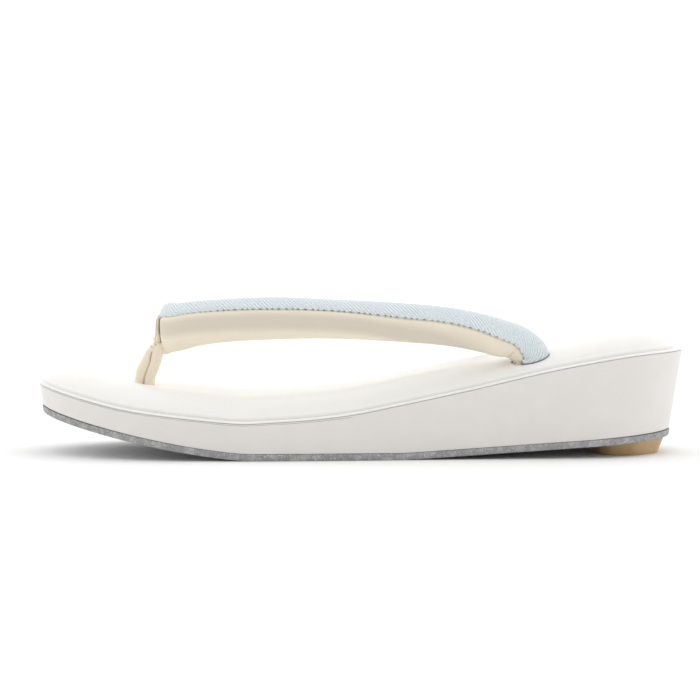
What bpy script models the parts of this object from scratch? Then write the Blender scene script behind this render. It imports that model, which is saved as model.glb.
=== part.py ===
"""A padded zori sandal on a single wrapped wedge core, with a thong strap and a toe loop.

Metres, +Z up. +X runs from toe to heel and +Y to one side; the shoe is the same on both sides.
The origin is on the floor, under the middle of the length and width.
"""

import math

import bmesh
import bpy
import numpy as np

# Outline of the sole, seen from above
LENGTH = 0.2385
BALL_WIDTH = 0.084
WAIST_WIDTH = 0.0765
HEEL_WIDTH = 0.0725
TOE_CAP_LENGTH = 0.060
HEEL_CAP_LENGTH = 0.039
CAP_ROUNDNESS = 2.0

# Side of the sole
TOE_SPRING = 0.0153
TOE_SPRING_POWER = 1.33
HEEL_RISE = 0.0066
HEEL_RISE_POWER = 1.15
CONTACT_START = 0.335
CONTACT_END = 0.500
SIDE_AT_TOE = 0.0104
SIDE_AT_HEEL = 0.0312
WALL_TAPER_DEG = 9.0
CORE_EDGE_ROUND = 0.0007

# Outsole sheet and heel block
OUTSOLE_THICKNESS = 0.0024
OUTSOLE_MARGIN = 0.0002
OUTSOLE_BEVEL = 0.0011
BEVEL_TOP_SHARE = 0.4
LIFT_LENGTH = 0.0285
LIFT_WIDTH = 0.0430
LIFT_REAR_INSET = 0.0008
LIFT_DRAFT = 0.0022
LIFT_WIDEST = 0.36
LIFT_FRONT_ROUNDNESS = 3.2
LIFT_REAR_ROUNDNESS = 2.1

# Padded footbed
DOME_HEIGHT = 0.0087
DOME_REACH = 0.020
DOME_POWER = 2.7
DOME_SWELL = 1.35
LEDGE_WIDTH = 0.0028
LEDGE_HEIGHT = 0.0010
EDGE_ROLL = 0.0012
DIMPLE_DEPTH = 0.0016
DIMPLE_LENGTH = 0.0144
DIMPLE_WIDTH = 0.0106
FRONT_DIMPLE = 0.0101

# Thong strap
STRAP_HEIGHT = 0.0160
STRAP_THICKNESS = 0.0096
STRAP_RISE = 0.0268
STRAP_ROUNDNESS = 2.3
STRAP_TAIL_DEPTH = 0.0085
ANCHOR_STATION = 0.7525
ANCHOR_SPREAD = 0.0245
FOLD_STATION = 0.197
FACE_THICKNESS = 0.0013
FACE_PROUD = 0.0004

# Toe loop
LOOP_WIDTH = 0.0078
LOOP_CROTCH_WIDTH = 0.0052
LOOP_THICKNESS = 0.0030
LOOP_ROUNDNESS = 2.86
LOOP_TAIL_DEPTH = 0.0075
LOOP_HOLE_ROUNDNESS = 4.5
FOLD_CUT_SHARE = 0.39

# Clearances
GAP = 0.0003
SOCKET_CLEARANCE = 0.0003
SOCKET_END = 0.0008

# How finely the solids are faceted
OUTLINE_POINTS = 96
CAP_SAMPLES = 60
MIDDLE_SAMPLES = 90
LIFT_POINTS = 25
ARM_SECTIONS = 27
END_CROWDING = 0.45
LINING_POINTS = 12
FACE_POINTS = 8
LOOP_SECTIONS = 38
LOOP_POINTS = 12
SOCKET_POINTS = 28
SHARP_ANGLE_DEG = 40.0

# station: share of LENGTH from the toe. side: how far the side has grown from toe to heel height.
# ledge: share of LEDGE_WIDTH between the rim and the cushion.
SIDE_ROWS = [
    # station, side, ledge
    (0.00, 0.000, 0.45),
    (0.08, 0.004, 0.90),
    (0.15, 0.012, 1.00),
    (0.25, 0.082, 1.00),
    (0.35, 0.130, 1.00),
    (0.45, 0.212, 1.00),
    (0.55, 0.385, 1.00),
    (0.65, 0.570, 1.00),
    (0.80, 0.862, 1.00),
    (0.90, 0.985, 1.05),
    (1.00, 1.000, 1.15),
]

# The rolled edge: distance from the rim as a share of the ledge, height as a share of EDGE_ROLL.
EDGE_ROWS = [
    # share, height
    (0.40, 0.00),
    (0.09, 0.00),
    (0.01, 0.35),
    (0.05, 0.75),
    (0.22, 1.00),
    (0.60, 0.97),
]
# Rings over the cushion, as shares of DOME_REACH, and over the flat of its crown.
CUSHION_SHARES = (0.0, 0.035, 0.10, 0.20, 0.34, 0.52, 0.74, 1.0)
CROWN_SHARES = (0.30, 0.62, 0.93)
CROWN_END_SHARE = 0.25

# Widths are held at these shares of LENGTH.
BALL_STATION = 0.34
WAIST_STATION = 0.62
HEEL_STATION = 0.84
TOE_FULLNESS = 0.965
HEEL_FULLNESS = 0.98

# Rows of one strap arm, from the fold at the front to the hole at the side.
# along: from the fold (0) to the anchor hole (1), seen from above. out: share of ANCHOR_SPREAD.
# rise: share of STRAP_RISE above the footbed. tall, thick: shares of STRAP_HEIGHT and STRAP_THICKNESS.
# facing: where the outer side faces, degrees from +X. lean: degrees that the top leans inwards.
# seam_out, seam_in: degrees from the top of the section to the two edges of the face cloth.
ARM_ROWS = [
    # along, out, rise, tall, thick, facing, lean, seam_out, seam_in
    (0.000, 0.000, 0.757, 0.74, 0.46, 180, 0, 58, 60),
    (0.008, 0.180, 0.798, 1.09, 0.74, 158, 0, 62, 61),
    (0.034, 0.330, 0.812, 1.07, 0.88, 134, 2, 64, 62),
    (0.085, 0.500, 0.882, 1.015, 0.94, 120, 4, 64, 62),
    (0.165, 0.700, 0.969, 0.957, 0.97, 113, 7, 66, 62),
    (0.300, 0.935, 1.020, 0.93, 1.00, 106, 10, 70, 62),
    (0.470, 1.110, 0.972, 0.845, 1.00, 98, 12, 72, 60),
    (0.640, 1.195, 0.825, 0.84, 0.99, 92, 12, 83, 54),
    (0.800, 1.190, 0.602, 0.825, 0.98, 89, 10, 87, 47),
    (0.905, 1.125, 0.374, 0.80, 0.97, 88, 7, 95, 38),
    (0.972, 1.040, 0.193, 0.755, 0.96, 89, 4, 108, 26),
    (1.000, 1.000, 0.020, 0.785, 0.94, 90, 0, 122, 16),
]
ARM_TAIL_SIZE = 0.97

# Rows of the toe loop, in the middle plane, from the front leg over the fold to the rear leg.
# forward, apart: toe-ward from the fold's middle, shares of STRAP_THICKNESS and of LOOP_THICKNESS.
# level: 0 at the footbed, 1 at the underside of the fold, 2 at its top. over: share of LOOP_THICKNESS.
# wide: how far from crotch width (0) to full width (1). thick: share of LOOP_THICKNESS.
LOOP_ROWS = [
    # forward, apart, level, over, wide, thick
    (0.885, 0.590, 0.000, 0.00, 1.00, 1.04),
    (0.850, 0.560, 0.235, 0.00, 1.00, 1.12),
    (0.770, 0.555, 0.447, 0.00, 0.95, 1.22),
    (0.680, 0.550, 0.570, 0.00, 0.85, 1.12),
    (0.600, 0.530, 0.750, 0.00, 0.72, 0.84),
    (0.505, 0.555, 0.900, 0.00, 0.55, 0.62),
    (0.285, 0.430, 1.131, 0.00, 0.38, 0.56),
    (0.240, 0.390, 1.300, 0.00, 0.30, 0.57),
    (0.235, 0.375, 1.650, 0.00, 0.30, 0.50),
    (0.180, 0.320, 1.900, 0.22, 0.25, 0.46),
    (0.000, 0.000, 2.000, 0.35, 0.20, 0.44),
    (-0.160, -0.320, 1.900, 0.22, 0.10, 0.48),
    (-0.230, -0.370, 1.650, 0.00, 0.00, 0.56),
    (-0.240, -0.385, 1.300, 0.00, 0.00, 0.62),
    (-0.200, -0.320, 1.090, 0.00, 0.00, 0.70),
    (0.020, -0.060, 1.000, -0.10, 0.15, 0.88),
    (0.165, -0.040, 0.985, 0.00, 0.35, 1.10),
    (0.310, -0.030, 0.870, 0.00, 0.55, 1.17),
    (0.425, -0.060, 0.640, 0.00, 0.75, 1.14),
    (0.520, -0.060, 0.447, 0.00, 0.90, 1.10),
    (0.700, -0.230, 0.235, 0.00, 1.00, 1.08),
    (0.885, -0.675, 0.000, 0.00, 1.00, 1.18),
]

COLOURS = {
    # name: red, green, blue, roughness
    "outsole": (0.36, 0.36, 0.38, 0.95),
    "heel_lift": (0.58, 0.38, 0.18, 0.55),
    "wedge_core": (0.80, 0.77, 0.73, 0.45),
    "footbed": (0.84, 0.82, 0.78, 0.42),
    "strap_lining": (0.80, 0.70, 0.54, 0.80),
    "strap_face": (0.52, 0.66, 0.76, 0.90),
    "toe_loop": (0.80, 0.68, 0.51, 0.80),
}


def smooth(rows, key, at):
    """Column key of rows at each value of at, where column 0 increases, as a smooth curve through them."""
    table = np.array(rows, float)
    knots, values = table[:, 0], table[:, key]
    slopes = np.gradient(values, knots)
    at = np.clip(np.atleast_1d(np.asarray(at, float)), knots[0], knots[-1])
    low = np.clip(np.searchsorted(knots, at, side="right") - 1, 0, len(knots) - 2)
    span = knots[low + 1] - knots[low]
    t = (at - knots[low]) / span
    return (
        (2 * t**3 - 3 * t**2 + 1) * values[low]
        + (t**3 - 2 * t**2 + t) * span * slopes[low]
        + (3 * t**2 - 2 * t**3) * values[low + 1]
        + (t**3 - t**2) * span * slopes[low + 1]
    )


def rounded(turn, roundness):
    """Cosine and sine of angles round a section: 2 is an ellipse, and more is squarer."""
    cosine, sine = np.cos(turn), np.sin(turn)
    power = 2 / roundness
    return np.sign(cosine) * np.abs(cosine) ** power, np.sign(sine) * np.abs(sine) ** power


def station(x):
    """Share of the length, from 0 at the toe to 1 at the heel."""
    return np.clip(np.asarray(x, float) / LENGTH + 0.5, 0.0, 1.0)


def place(share):
    """The X of a share of the length."""
    return (share - 0.5) * LENGTH


def bottom_height(x):
    """Underside of the outsole: toe spring, a flat spot under the ball, and a slow rise to the heel."""
    u = station(x)
    toe = np.clip((CONTACT_START - u) / CONTACT_START, 0, 1) ** TOE_SPRING_POWER
    heel = np.clip((u - CONTACT_END) / (1 - CONTACT_END), 0, 1) ** HEEL_RISE_POWER
    return TOE_SPRING * toe + HEEL_RISE * heel


def side_height(x):
    """Height of the side, from the underside of the outsole to the rim of the core."""
    share = smooth(SIDE_ROWS, 1, station(x))
    return SIDE_AT_TOE + (SIDE_AT_HEEL - SIDE_AT_TOE) * share


def rim_height(x):
    return bottom_height(x) + side_height(x)


def side_points(count):
    """One side of the rim's outline as (x, y), from the tip of the toe to the tip of the heel."""
    widths = [
        (0.0, BALL_WIDTH * TOE_FULLNESS),
        (BALL_STATION, BALL_WIDTH),
        (WAIST_STATION, WAIST_WIDTH),
        (HEEL_STATION, HEEL_WIDTH),
        (1.0, HEEL_WIDTH * HEEL_FULLNESS),
    ]
    back, out = rounded(np.linspace(0, math.pi / 2, CAP_SAMPLES), CAP_ROUNDNESS)
    toe = TOE_CAP_LENGTH * (1 - back)
    heel = LENGTH - HEEL_CAP_LENGTH * (1 - back[::-1])
    middle = np.linspace(TOE_CAP_LENGTH, LENGTH - HEEL_CAP_LENGTH, MIDDLE_SAMPLES)[1:-1]
    along = np.concatenate([toe, middle, heel])
    cap = np.concatenate([out, np.ones(len(middle)), out[::-1]])
    half = smooth(widths, 1, along / LENGTH) / 2 * cap
    dense = np.column_stack([along - LENGTH / 2, half])
    step = np.linalg.norm(np.diff(dense, axis=0), axis=1)
    reached = np.concatenate([[0], np.cumsum(step)])
    even = np.linspace(0, reached[-1], count)
    return np.column_stack([np.interp(even, reached, dense[:, k]) for k in (0, 1)])


def outline():
    """The closed rim outline: point i and point -i are mirror images, and point 0 is the toe."""
    one = side_points(OUTLINE_POINTS // 2 + 1)
    one[0, 1] = one[-1, 1] = 0.0
    other = one[-2:0:-1] * [1, -1]
    return np.concatenate([one, other])


RIM = outline()


def inset(points, distance):
    """The closed outline moved inwards by distance, a number or one for each point."""
    along = np.roll(points, -1, axis=0) - np.roll(points, 1, axis=0)
    along /= np.linalg.norm(along, axis=1)[:, None]
    outward = np.column_stack([-along[:, 1], along[:, 0]])
    moved = points - outward * np.broadcast_to(distance, len(points))[:, None]
    half = len(points) // 2
    moved[0, 1] = moved[half, 1] = 0.0
    return moved


def edge_distance(points):
    """Distance of each (x, y) from the rim outline."""
    start, end = RIM, np.roll(RIM, -1, axis=0)
    span = end - start
    share = np.einsum("pij,ij->pi", points[:, None] - start[None], span)
    share = np.clip(share / (span**2).sum(axis=1), 0, 1)
    nearest = start[None] + share[..., None] * span[None]
    return np.linalg.norm(points[:, None] - nearest, axis=2).min(axis=1)


def loop_hole_x():
    """The X of the front hole, midway between the loop's two legs."""
    return place(FOLD_STATION) - STRAP_THICKNESS * (LOOP_ROWS[0][0] + LOOP_ROWS[-1][0]) / 2


def dimple(points):
    """How far the cover is drawn down round the three holes."""
    holes = [
        (place(ANCHOR_STATION), ANCHOR_SPREAD, DIMPLE_LENGTH, DIMPLE_WIDTH),
        (place(ANCHOR_STATION), -ANCHOR_SPREAD, DIMPLE_LENGTH, DIMPLE_WIDTH),
        (loop_hole_x(), 0.0, FRONT_DIMPLE, FRONT_DIMPLE),
    ]
    pull = np.zeros(len(points))
    for x, y, long_reach, wide_reach in holes:
        away = ((points[:, 0] - x) / long_reach) ** 2 + ((points[:, 1] - y) / wide_reach) ** 2
        pull = np.maximum(pull, DIMPLE_DEPTH * np.exp(-away))
    return pull


def ledge_width(x):
    return LEDGE_WIDTH * smooth(SIDE_ROWS, 2, station(x))


def footbed_height(points):
    """Top of the padded footbed at each (x, y) inside its ledge."""
    points = np.atleast_2d(np.asarray(points, float))
    away = edge_distance(points) - ledge_width(points[:, 0])
    share = np.clip(away / DOME_REACH, 0, 1)
    swell = (1 - (1 - share) ** DOME_POWER) ** (1 / DOME_SWELL)
    dome = LEDGE_HEIGHT + (DOME_HEIGHT - LEDGE_HEIGHT) * swell
    return rim_height(points[:, 0]) + dome - dimple(points)


def ring(points, heights):
    return np.column_stack([points, heights])


def add_object(name, mesh):
    """Links a finished mesh as an object with its own material, shaded smooth with sharp edges kept."""
    red, green, blue, rough = COLOURS[name]
    material = bpy.data.materials.new(name)
    material.use_nodes = True
    shader = material.node_tree.nodes["Principled BSDF"]
    shader.inputs["Base Color"].default_value = (red, green, blue, 1)
    shader.inputs["Roughness"].default_value = rough
    shader.inputs["Metallic"].default_value = 0.0
    mesh.materials.append(material)
    mesh.shade_smooth()
    mesh.set_sharp_from_angle(angle=math.radians(SHARP_ANGLE_DEG))
    obj = bpy.data.objects.new(name, mesh)
    bpy.context.scene.collection.objects.link(obj)
    return obj


def mesh_from(name, bm):
    bmesh.ops.recalc_face_normals(bm, faces=bm.faces)
    mesh = bpy.data.meshes.new(name)
    bm.to_mesh(mesh)
    bm.free()
    return mesh


def close_across(bm, verts):
    """Closes a mirrored ring with faces that run straight across from side to side."""
    count = len(verts)
    for i in range(count // 2):
        corners = [verts[i], verts[i + 1], verts[-i - 1], verts[-i % count]]
        bm.faces.new(list(dict.fromkeys(corners)))


def stacked(name, rings):
    """A closed mesh through mirrored rings, from the bottom one up, closed straight across at both ends."""
    bm = bmesh.new()
    layers = [[bm.verts.new(p) for p in r] for r in rings]
    for low, high in zip(layers, layers[1:]):
        for i in range(len(low)):
            j = (i + 1) % len(low)
            bm.faces.new([low[i], low[j], high[j], high[i]])
    close_across(bm, layers[0])
    close_across(bm, layers[-1])
    return mesh_from(name, bm)


def lofted(name, sections):
    """A closed mesh through sections of equal point counts, with a flat cap at each end."""
    bm = bmesh.new()
    layers = [[bm.verts.new(p) for p in s] for s in sections]
    for low, high in zip(layers, layers[1:]):
        for i in range(len(low)):
            j = (i + 1) % len(low)
            bm.faces.new([low[i], low[j], high[j], high[i]])
    bm.faces.new(layers[0])
    bm.faces.new(layers[-1][::-1])
    bmesh.ops.triangulate(bm, faces=bm.faces)
    return mesh_from(name, bm)


def wall_inset(depth):
    """How far the wall has come in at a depth below the rim."""
    return depth * math.tan(math.radians(WALL_TAPER_DEG))


def outsole_top_outline():
    depth = side_height(RIM[:, 0]) - OUTSOLE_THICKNESS
    return inset(RIM, wall_inset(depth) - OUTSOLE_MARGIN)


def build_core():
    """The wedge core in its wrap, from the outsole up to the rim."""
    depth = side_height(RIM[:, 0]) - OUTSOLE_THICKNESS - GAP
    foot = inset(RIM, wall_inset(depth))
    lip = inset(RIM, CORE_EDGE_ROUND)
    side = inset(RIM, wall_inset(CORE_EDGE_ROUND))
    rings = [
        ring(foot, bottom_height(foot[:, 0]) + OUTSOLE_THICKNESS + GAP),
        ring(side, rim_height(side[:, 0]) - CORE_EDGE_ROUND),
        ring(lip, rim_height(lip[:, 0])),
    ]
    return add_object("wedge_core", stacked("wedge_core", rings))


def build_outsole():
    """The leather sheet under the core, its lower edge bevelled."""
    top = outsole_top_outline()
    middle = inset(top, wall_inset(OUTSOLE_THICKNESS / 2))
    low = inset(top, OUTSOLE_BEVEL)
    rings = [
        ring(low, bottom_height(low[:, 0])),
        ring(middle, bottom_height(middle[:, 0]) + OUTSOLE_THICKNESS * BEVEL_TOP_SHARE),
        ring(top, bottom_height(top[:, 0]) + OUTSOLE_THICKNESS),
    ]
    return add_object("outsole", stacked("outsole", rings))


def lift_outline():
    """The D-shaped outline of the top of the heel block."""
    rear = inset(outsole_top_outline(), OUTSOLE_BEVEL + LIFT_REAR_INSET)[:, 0].max()
    widest = rear - LIFT_LENGTH * (1 - LIFT_WIDEST)
    turn = np.linspace(math.pi, 0, LIFT_POINTS)
    ahead = np.cos(turn) < 0
    reach = LIFT_LENGTH * np.where(ahead, LIFT_WIDEST, 1 - LIFT_WIDEST)
    back, out = rounded(turn, np.where(ahead, LIFT_FRONT_ROUNDNESS, LIFT_REAR_ROUNDNESS))
    one = np.column_stack([widest + back * reach, out * LIFT_WIDTH / 2])
    one[0, 1] = one[-1, 1] = 0.0
    return np.concatenate([one, one[-2:0:-1] * [1, -1]])


def build_heel_lift():
    """The rubber block, which fills the wedge of space between the outsole and the floor."""
    top = lift_outline()
    foot = inset(top, LIFT_DRAFT)
    rings = [
        ring(foot, np.zeros(len(foot))),
        ring(top, bottom_height(top[:, 0]) - GAP),
    ]
    return add_object("heel_lift", stacked("heel_lift", rings))


def footbed_rings():
    """Rings of the footbed from its underside, round the rolled edge and up over the cushion."""
    ledge = ledge_width(RIM[:, 0])
    rings = []
    for share, height in EDGE_ROWS:
        points = inset(RIM, ledge * share)
        rings.append(ring(points, rim_height(points[:, 0]) + GAP + (EDGE_ROLL - GAP) * height))
    for share in CUSHION_SHARES:
        points = inset(RIM, ledge + DOME_REACH * share)
        rings.append(ring(points, footbed_height(points)))
    inner = rings[-1][:, :2]
    for share in CROWN_SHARES:
        points = inner * [1 - CROWN_END_SHARE * share, 1 - share]
        rings.append(ring(points, footbed_height(points)))
    return rings


def arm_table():
    """Places and sizes of the sections of one arm, in metres and degrees, from fold to hole."""
    rows = np.array(ARM_ROWS, float)
    fold, anchor = place(FOLD_STATION), place(ANCHOR_STATION)
    x = fold + (anchor - fold) * rows[:, 0]
    y = ANCHOR_SPREAD * rows[:, 1]
    z = footbed_height(np.column_stack([x, y])) + STRAP_RISE * rows[:, 2]
    table = np.column_stack([x, y, z, rows[:, 3:]])
    tail = table[-1].copy()
    tail[3:5] *= ARM_TAIL_SIZE
    mid_tail = tail.copy()
    mid_tail[2] -= STRAP_TAIL_DEPTH / 2
    tail[2] -= STRAP_TAIL_DEPTH
    return np.vstack([table, mid_tail, tail])


def arm_sections():
    """Along one arm: centre, outward and upward unit vectors, half sizes and seam angles."""
    table = arm_table()
    step = np.linalg.norm(np.diff(table[:, :3], axis=0), axis=1)
    reached = np.concatenate([[0], np.cumsum(step)])
    even = np.linspace(0, 1, ARM_SECTIONS)
    at = reached[-1] * (even - END_CROWDING * np.sin(2 * math.pi * even) / (2 * math.pi))
    rows = np.column_stack([reached, table])
    columns = [smooth(rows, k, at) for k in range(1, rows.shape[1])]
    x, y, z, tall, thick, facing, lean, seam_out, seam_in = columns
    y[0] = 0.0
    centre = np.column_stack([x, y, z])
    ahead = np.gradient(centre, at, axis=0)
    ahead[0] = [0, 1, 0]
    ahead[-2:] = [0, 0, -1]
    ahead /= np.linalg.norm(ahead, axis=1)[:, None]
    turn = np.radians(facing)
    outward = np.column_stack([np.cos(turn), np.sin(turn), np.zeros(len(turn))])
    upward = np.cross(ahead, outward)
    upward /= np.linalg.norm(upward, axis=1)[:, None]
    outward = np.cross(upward, ahead)
    tilt = np.radians(lean)[:, None]
    leaned_up = upward * np.cos(tilt) - outward * np.sin(tilt)
    leaned_out = outward * np.cos(tilt) + upward * np.sin(tilt)
    half_tall = tall * STRAP_HEIGHT / 2
    half_thick = thick * STRAP_THICKNESS / 2
    return centre, leaned_out, leaned_up, half_tall, half_thick, seam_out, seam_in


def section_points(angles, half_tall, half_thick, grow):
    """Points of a strap section at angles from its top, positive outwards, as (out, up) offsets."""
    up, out = rounded(np.radians(angles), STRAP_ROUNDNESS)
    return np.column_stack([out * (half_thick + grow), up * (half_tall + grow)])


def in_space(flat, centre, outward, upward):
    return centre + flat[:, :1] * outward + flat[:, 1:] * upward


def both_arms(one_arm):
    """Sections of one arm, continued as their mirror images on the other side of the fold."""
    mirrored = [section * [1, -1, 1] for section in one_arm[:0:-1]]
    return mirrored + one_arm


def seam_slack(half_tall):
    """The angle that leaves a gap's width at an edge of the face cloth."""
    return math.degrees(GAP / half_tall)


def lining_sections():
    """The padded body of the strap, with a step where the face cloth lies."""
    sections = []
    recess = FACE_THICKNESS - FACE_PROUD + GAP
    for centre, out, up, tall, thick, seam_out, seam_in in zip(*arm_sections()):
        under = np.linspace(seam_out, 360 - seam_in, LINING_POINTS)
        top = np.linspace(-seam_in, seam_out, FACE_POINTS)
        flat = np.vstack(
            [section_points(under, tall, thick, 0), section_points(top, tall, thick, -recess)]
        )
        sections.append(in_space(flat, centre, out, up))
    return both_arms(sections)


def face_sections():
    """The face cloth: a curved strip that stands a little proud of the lining."""
    sections = []
    for centre, out, up, tall, thick, seam_out, seam_in in zip(*arm_sections()):
        slack = seam_slack(tall)
        across = np.linspace(slack - seam_in, seam_out - slack, FACE_POINTS)
        outer = section_points(across, tall, thick, FACE_PROUD)
        inner = section_points(across[::-1], tall, thick, FACE_PROUD - FACE_THICKNESS)
        sections.append(in_space(np.vstack([outer, inner]), centre, out, up))
    return both_arms(sections)


def loop_table():
    """Centres, widths and thicknesses of the toe loop in the middle plane, tails included."""
    rows = np.array(LOOP_ROWS, float)
    centre, _, _, half_tall, _, _, _ = arm_sections()
    floor = footbed_height([(loop_hole_x(), 0.0)])[0]
    levels = [floor, centre[0, 2] - half_tall[0], centre[0, 2] + half_tall[0]]
    x = place(FOLD_STATION) - STRAP_THICKNESS * rows[:, 0] - LOOP_THICKNESS * rows[:, 1]
    z = np.interp(rows[:, 2], [0, 1, 2], levels) + LOOP_THICKNESS * rows[:, 3]
    wide = LOOP_CROTCH_WIDTH + (LOOP_WIDTH - LOOP_CROTCH_WIDTH) * rows[:, 4]
    table = np.column_stack([x, z, wide, LOOP_THICKNESS * rows[:, 5]])
    front, rear = table[0].copy(), table[-1].copy()
    front[1] -= LOOP_TAIL_DEPTH
    rear[1] -= LOOP_TAIL_DEPTH
    return np.vstack([front, table, rear])


def loop_sections(grow):
    """Sections along the toe loop, each grown by a margin all round."""
    table = loop_table()
    step = np.linalg.norm(np.diff(table[:, :2], axis=0), axis=1)
    reached = np.concatenate([[0], np.cumsum(step)])
    at = np.linspace(0, reached[-1], LOOP_SECTIONS)
    rows = np.column_stack([reached, table])
    x, z, wide, thick = [smooth(rows, k, at) for k in range(1, 5)]
    along = np.column_stack([np.gradient(x, at), np.gradient(z, at)])
    along[0], along[-1] = (0, 1), (0, -1)
    along /= np.linalg.norm(along, axis=1)[:, None]
    side, front = rounded(np.linspace(0, 2 * math.pi, LOOP_POINTS, endpoint=False), LOOP_ROUNDNESS)
    sections = []
    for i in range(len(at)):
        across = np.array([along[i, 1], 0, -along[i, 0]])
        points = np.array([x[i], 0, z[i]]) + front[:, None] * (thick[i] / 2 + grow) * across
        points[:, 1] += side * (wide[i] / 2 + grow)
        sections.append(points)
    return sections


def add_cutter(name, sections):
    """A closed shape that cuts others; it isn't part of the model."""
    obj = bpy.data.objects.new(name, lofted(name, sections))
    bpy.context.scene.collection.objects.link(obj)
    obj.hide_render = True
    obj.display_type = "WIRE"
    return obj


def fold_cutter():
    """Room for the toe loop where it lies round the strap's fold; its legs further down need none."""
    reach = STRAP_THICKNESS * FOLD_CUT_SHARE
    near = [s for s in loop_sections(GAP) if place(FOLD_STATION) - s[:, 0].mean() < reach]
    return add_cutter("cut_fold", near)


def socket_plug(name, centre, half_x, half_y, roundness, low):
    """An upright plug with rounded corners, from a depth up to well above the shoe."""
    along, aside = rounded(np.linspace(0, 2 * math.pi, SOCKET_POINTS, endpoint=False), roundness)
    points = np.column_stack([centre[0] + along * half_x, centre[1] + aside * half_y])
    ends = [ring(points, np.full(len(points), level)) for level in (low, LENGTH)]
    return add_cutter(name, ends)


def socket_plugs():
    """The three plugs for the holes that take the strap's tails and the loop's legs."""
    centre, _, _, half_tall, half_thick, _, _ = arm_sections()
    room = FACE_PROUD + SOCKET_CLEARANCE
    half_x = half_tall[-3:].max() + room
    half_y = half_thick[-3:].max() + room
    low = centre[-1, 2] - SOCKET_END
    plugs = []
    for side, name in ((1, "cut_left"), (-1, "cut_right")):
        place_of_hole = (centre[-1, 0], side * centre[-1, 1])
        plugs.append(socket_plug(name, place_of_hole, half_x, half_y, STRAP_ROUNDNESS, low))
    table = loop_table()
    front = table[0, 0] - table[0, 3] / 2 - SOCKET_CLEARANCE
    rear = table[-1, 0] + table[-1, 3] / 2 + SOCKET_CLEARANCE
    middle = ((front + rear) / 2, 0.0)
    half_y = table[0, 2] / 2 + SOCKET_CLEARANCE
    low = table[0, 1] - SOCKET_END
    plugs.append(socket_plug("cut_front", middle, (rear - front) / 2, half_y, LOOP_HOLE_ROUNDNESS, low))
    return plugs


def cut(objects, cutters):
    for obj in objects:
        for cutter in cutters:
            modifier = obj.modifiers.new(cutter.name, "BOOLEAN")
            modifier.operation = "DIFFERENCE"
            modifier.object = cutter
            modifier.solver = "EXACT"


def main():
    for obj in list(bpy.data.objects):
        bpy.data.objects.remove(obj)
    build_outsole()
    build_heel_lift()
    core = build_core()
    footbed = add_object("footbed", stacked("footbed", footbed_rings()))
    cut([core, footbed], socket_plugs())
    lining = add_object("strap_lining", lofted("strap_lining", lining_sections()))
    face = add_object("strap_face", lofted("strap_face", face_sections()))
    add_object("toe_loop", lofted("toe_loop", loop_sections(0.0)))
    cut([lining, face], [fold_cutter()])


main()
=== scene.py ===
import math

import bmesh
import bpy
import numpy as np
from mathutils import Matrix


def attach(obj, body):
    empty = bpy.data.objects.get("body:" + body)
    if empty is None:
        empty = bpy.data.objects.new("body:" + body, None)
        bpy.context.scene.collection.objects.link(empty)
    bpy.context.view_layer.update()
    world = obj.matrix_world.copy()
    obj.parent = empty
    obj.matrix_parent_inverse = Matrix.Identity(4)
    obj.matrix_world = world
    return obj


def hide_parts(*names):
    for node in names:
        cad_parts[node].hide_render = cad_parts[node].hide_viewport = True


# Looks of a padded zori sandal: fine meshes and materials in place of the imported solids.
# Metres, +Z up, toe towards -X, heel towards +X. The photograph looks along +Y.

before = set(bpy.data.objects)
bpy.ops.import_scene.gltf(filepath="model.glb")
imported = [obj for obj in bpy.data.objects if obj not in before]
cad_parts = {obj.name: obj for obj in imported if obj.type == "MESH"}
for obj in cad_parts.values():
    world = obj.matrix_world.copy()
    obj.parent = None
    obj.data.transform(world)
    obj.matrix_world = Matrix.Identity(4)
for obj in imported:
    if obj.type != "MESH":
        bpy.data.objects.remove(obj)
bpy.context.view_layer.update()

MM = 0.001

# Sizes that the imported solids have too
LENGTH = 0.2385
BALL_WIDTH = 0.084
WAIST_WIDTH = 0.0765
HEEL_WIDTH = 0.0725
TOE_CAP_LENGTH = 0.060
HEEL_CAP_LENGTH = 0.039
TOE_SPRING = 0.0153
TOE_SPRING_POWER = 1.33
HEEL_RISE = 0.0066
HEEL_RISE_POWER = 1.15
CONTACT_START = 0.335
CONTACT_END = 0.500
SOLE_FLAT_END = 0.565
SOLE_RISE_POWER = 1.04
SIDE_AT_TOE = 0.0104
SIDE_AT_HEEL = 0.0312
WALL_TAPER_DEG = 9.0
OUTSOLE_THICKNESS = 0.0024
OUTSOLE_MARGIN = 0.0002
LIFT_LENGTH = 0.0285
LIFT_WIDTH = 0.0430
LIFT_REAR_INSET = 0.0019
LIFT_DRAFT = 0.0022
LIFT_WIDEST = 0.36
LIFT_FRONT_ROUNDNESS = 3.2
LIFT_REAR_ROUNDNESS = 2.1
DOME_HEIGHT = 0.0087
DOME_REACH = 0.020
DOME_POWER = 2.7
DOME_SWELL = 1.35
LEDGE_WIDTH = 0.0028
LEDGE_HEIGHT = 0.0010
DIMPLE_DEPTH = 0.0016
DIMPLE_LENGTH = 0.0144
DIMPLE_WIDTH = 0.0106
FRONT_DIMPLE = 0.0101
STRAP_HEIGHT = 0.0160
STRAP_THICKNESS = 0.0096
STRAP_RISE = 0.0268
STRAP_ROUNDNESS = 2.3
STRAP_TAIL_DEPTH = 0.0085
ANCHOR_STATION = 0.7525
ANCHOR_SPREAD = 0.0245
FOLD_STATION = 0.197
FACE_THICKNESS = 0.0013
FACE_PROUD = 0.0004
LOOP_WIDTH = 0.0078
LOOP_CROTCH_WIDTH = 0.0052
LOOP_THICKNESS = 0.0030
LOOP_ROUNDNESS = 2.86
LOOP_TAIL_DEPTH = 0.0075
LOOP_HOLE_ROUNDNESS = 4.5
GAP = 0.0003

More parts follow.
